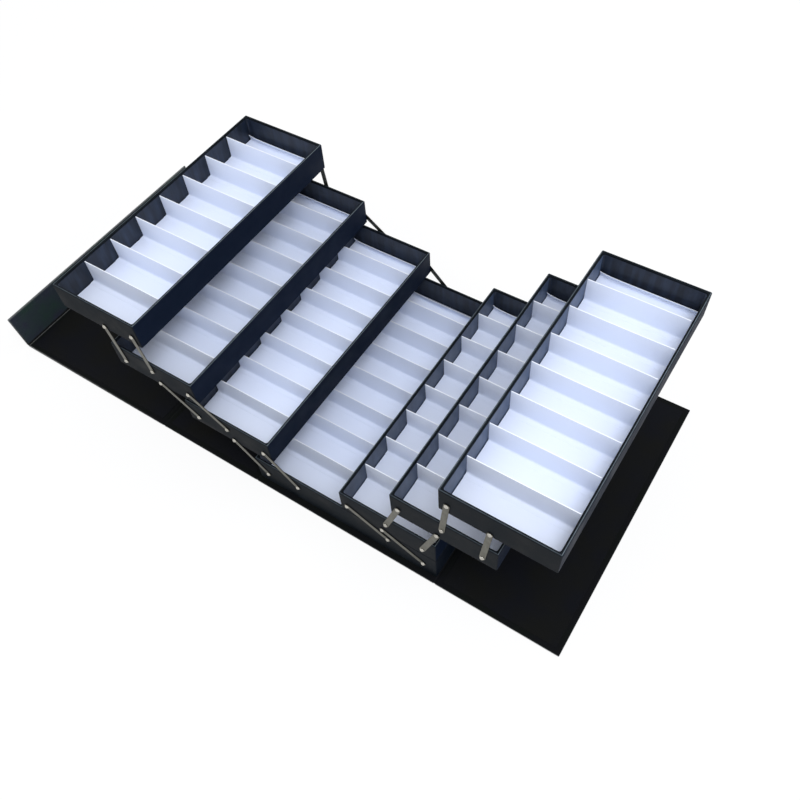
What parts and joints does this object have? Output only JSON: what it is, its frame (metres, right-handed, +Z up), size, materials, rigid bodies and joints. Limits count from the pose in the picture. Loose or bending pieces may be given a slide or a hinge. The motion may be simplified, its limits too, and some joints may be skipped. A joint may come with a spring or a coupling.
{
  "type": "sunglasses display case",
  "caption": "Fold-out storage case for sunglasses: a wrap-round cover and cantilever trays on riveted parallel links, each divided into card-lined compartments.",
  "frame": {"origin": "centre of the case's flat underside, under the middle of the base box", "axes": "+X across both tray stacks towards the right side wall, +Y along the trays towards the back, +Z up"},
  "size_m": [1.1012, 0.48, 0.2834],
  "materials": {
    "tray_leatherette": "satin black leatherette over board, faintly blue",
    "cover_leatherette": "fine-grained black leatherette over board",
    "lining_cloth": "matt black lining",
    "white_card": "smooth white card",
    "link_metal": "nickel-plated steel strip",
    "rivet_metal": "bright nickel-plated domed rivets"
  },
  "bodies": {
    "base": {"bottom_board": "cover_leatherette", "base_box": "tray_leatherette", "base_cards": "white_card", "base_dividers_left": "white_card", "base_dividers_right": "white_card", "base_rivets": "rivet_metal", "left_fold": "cover_leatherette", "right_fold": "cover_leatherette"},
    "left_wall": {"left_wall_board": "cover_leatherette", "left_wall_lining": "lining_cloth", "lid_fold": "cover_leatherette"},
    "lid": {"lid_board": "cover_leatherette", "lid_lining": "lining_cloth", "lip_fold": "cover_leatherette"},
    "lip": {"lip_board": "cover_leatherette", "lip_lining": "lining_cloth"},
    "right_wall": {"right_wall_board": "cover_leatherette", "right_wall_lining": "lining_cloth"},
    "left_tray_1": {"left_tray_1_shell": "tray_leatherette", "left_tray_1_card": "white_card", "left_tray_1_dividers": "white_card", "left_tray_1_rivets": "rivet_metal"},
    "left_tray_1_inner_links": {"left_tray_1_inner_links": "link_metal"},
    "left_tray_1_outer_links": {"left_tray_1_outer_links": "link_metal"},
    "left_tray_2": {"left_tray_2_shell": "tray_leatherette", "left_tray_2_card": "white_card", "left_tray_2_dividers": "white_card", "left_tray_2_rivets": "rivet_metal"},
    "left_tray_2_inner_links": {"left_tray_2_inner_links": "link_metal"},
    "left_tray_2_outer_links": {"left_tray_2_outer_links": "link_metal"},
    "left_tray_3": {"left_tray_3_shell": "tray_leatherette", "left_tray_3_card": "white_card", "left_tray_3_dividers": "white_card", "left_tray_3_rivets": "rivet_metal"},
    "left_tray_3_inner_links": {"left_tray_3_inner_links": "link_metal"},
    "left_tray_3_outer_links": {"left_tray_3_outer_links": "link_metal"},
    "right_tray_1": {"right_tray_1_shell": "tray_leatherette", "right_tray_1_card": "white_card", "right_tray_1_dividers": "white_card", "right_tray_1_rivets": "rivet_metal"},
    "right_tray_1_inner_links": {"right_tray_1_inner_links": "link_metal"},
    "right_tray_1_outer_links": {"right_tray_1_outer_links": "link_metal"},
    "right_tray_2": {"right_tray_2_shell": "tray_leatherette", "right_tray_2_card": "white_card", "right_tray_2_dividers": "white_card", "right_tray_2_rivets": "rivet_metal"},
    "right_tray_2_inner_links": {"right_tray_2_inner_links": "link_metal"},
    "right_tray_2_outer_links": {"right_tray_2_outer_links": "link_metal"},
    "right_tray_3": {"right_tray_3_shell": "tray_leatherette", "right_tray_3_card": "white_card", "right_tray_3_dividers": "white_card", "right_tray_3_rivets": "rivet_metal"},
    "right_tray_3_inner_links": {"right_tray_3_inner_links": "link_metal"},
    "right_tray_3_outer_links": {"right_tray_3_outer_links": "link_metal"}
  },
  "joints": [
    {"name": "left_tray_1_swing", "type": "hinge", "parent": "base", "child": "left_tray_1_inner_links", "pos_m": [-0.0835, 0, 0.0425], "axis": [0, 1, 0], "range_deg": [-17.7, 105.7]},
    {"name": "left_tray_1_outer_links_turn", "type": "hinge", "parent": "base", "child": "left_tray_1_outer_links", "pos_m": [-0.1445, 0, 0.0295], "axis": [0, 1, 0], "range_deg": [-17.7, 105.7]},
    {"name": "left_tray_1_level", "type": "hinge", "parent": "left_tray_1_inner_links", "child": "left_tray_1", "pos_m": [-0.13789, 0, 0.09882], "axis": [0, 1, 0], "range_deg": [-105.7, 17.7]},
    {"name": "left_tray_2_swing", "type": "hinge", "parent": "left_tray_1", "child": "left_tray_2_inner_links", "pos_m": [-0.20689, 0, 0.11032], "axis": [0, 1, 0], "range_deg": [-8.7, 114.7]},
    {"name": "left_tray_2_outer_links_turn", "type": "hinge", "parent": "left_tray_1", "child": "left_tray_2_outer_links", "pos_m": [-0.26789, 0, 0.09732], "axis": [0, 1, 0], "range_deg": [-8.7, 114.7]},
    {"name": "left_tray_2_level", "type": "hinge", "parent": "left_tray_2_inner_links", "child": "left_tray_2", "pos_m": [-0.26942, 0, 0.15744], "axis": [0, 1, 0], "range_deg": [-114.7, 8.7]},
    {"name": "left_tray_3_swing", "type": "hinge", "parent": "left_tray_2", "child": "left_tray_3_inner_links", "pos_m": [-0.33842, 0, 0.16894], "axis": [0, 1, 0], "range_deg": [-54.7, 68.7]},
    {"name": "left_tray_3_outer_links_turn", "type": "hinge", "parent": "left_tray_2", "child": "left_tray_3_outer_links", "pos_m": [-0.39942, 0, 0.15594], "axis": [0, 1, 0], "range_deg": [-54.7, 68.7]},
    {"name": "left_tray_3_level", "type": "hinge", "parent": "left_tray_3_inner_links", "child": "left_tray_3", "pos_m": [-0.34796, 0, 0.24665], "axis": [0, 1, 0], "range_deg": [-68.7, 54.7]},
    {"name": "right_tray_1_swing", "type": "hinge", "parent": "base", "child": "right_tray_1_inner_links", "pos_m": [0.0835, 0, 0.0425], "axis": [0, -1, 0], "range_deg": [-123.5, 0]},
    {"name": "right_tray_1_outer_links_turn", "type": "hinge", "parent": "base", "child": "right_tray_1_outer_links", "pos_m": [0.1445, 0, 0.0295], "axis": [0, -1, 0], "range_deg": [-123.5, 0]},
    {"name": "right_tray_1_level", "type": "hinge", "parent": "right_tray_1_inner_links", "child": "right_tray_1", "pos_m": [0.0145, 0, 0.0795], "axis": [0, -1, 0], "range_deg": [0, 123.5]},
    {"name": "right_tray_2_swing", "type": "hinge", "parent": "right_tray_1", "child": "right_tray_2_inner_links", "pos_m": [0.0835, 0, 0.091], "axis": [0, -1, 0], "range_deg": [-42.7, 80.7]},
    {"name": "right_tray_2_outer_links_turn", "type": "hinge", "parent": "right_tray_1", "child": "right_tray_2_outer_links", "pos_m": [0.1445, 0, 0.078], "axis": [0, -1, 0], "range_deg": [-42.7, 80.7]},
    {"name": "right_tray_2_level", "type": "hinge", "parent": "right_tray_2_inner_links", "child": "right_tray_2", "pos_m": [0.10899, 0, 0.16503], "axis": [0, -1, 0], "range_deg": [-80.7, 42.7]},
    {"name": "right_tray_3_swing", "type": "hinge", "parent": "right_tray_2", "child": "right_tray_3_inner_links", "pos_m": [0.17799, 0, 0.17653], "axis": [0, -1, 0], "range_deg": [-55.7, 67.7]},
    {"name": "right_tray_3_outer_links_turn", "type": "hinge", "parent": "right_tray_2", "child": "right_tray_3_outer_links", "pos_m": [0.23899, 0, 0.16353], "axis": [0, -1, 0], "range_deg": [-55.7, 67.7]},
    {"name": "right_tray_3_level", "type": "hinge", "parent": "right_tray_3_inner_links", "child": "right_tray_3", "pos_m": [0.18617, 0, 0.25439], "axis": [0, -1, 0], "range_deg": [-67.7, 55.7]},
    {"name": "left_wall_fold", "type": "hinge", "parent": "base", "child": "left_wall", "pos_m": [-0.1682, 0, 0.0023], "axis": [0, 1, 0], "range_deg": [0, 26]},
    {"name": "lid_fold_up", "type": "hinge", "parent": "left_wall", "child": "lid", "pos_m": [-0.3731, 0, 0.0023], "axis": [0, 1, 0], "range_deg": [0, 58]},
    {"name": "lip_fold_up", "type": "hinge", "parent": "lid", "child": "lip", "pos_m": [-0.7135, 0, 0.0023], "axis": [0, 1, 0], "range_deg": [-78, 12]},
    {"name": "right_wall_fold", "type": "hinge", "parent": "base", "child": "right_wall", "pos_m": [0.1682, 0, 0.0023], "axis": [0, -1, 0], "range_deg": [0, 55]}
  ],
  "couplings": [
    {"joint": "left_tray_1_outer_links_turn", "follows": "left_tray_1_swing", "ratio": 1},
    {"joint": "left_tray_1_level", "follows": "left_tray_1_swing", "ratio": -1},
    {"joint": "left_tray_2_outer_links_turn", "follows": "left_tray_2_swing", "ratio": 1},
    {"joint": "left_tray_2_level", "follows": "left_tray_2_swing", "ratio": -1},
    {"joint": "left_tray_3_outer_links_turn", "follows": "left_tray_3_swing", "ratio": 1},
    {"joint": "left_tray_3_level", "follows": "left_tray_3_swing", "ratio": -1},
    {"joint": "right_tray_1_outer_links_turn", "follows": "right_tray_1_swing", "ratio": 1},
    {"joint": "right_tray_1_level", "follows": "right_tray_1_swing", "ratio": -1},
    {"joint": "right_tray_2_outer_links_turn", "follows": "right_tray_2_swing", "ratio": 1},
    {"joint": "right_tray_2_level", "follows": "right_tray_2_swing", "ratio": -1},
    {"joint": "right_tray_3_outer_links_turn", "follows": "right_tray_3_swing", "ratio": 1},
    {"joint": "right_tray_3_level", "follows": "right_tray_3_swing", "ratio": -1}
  ]
}
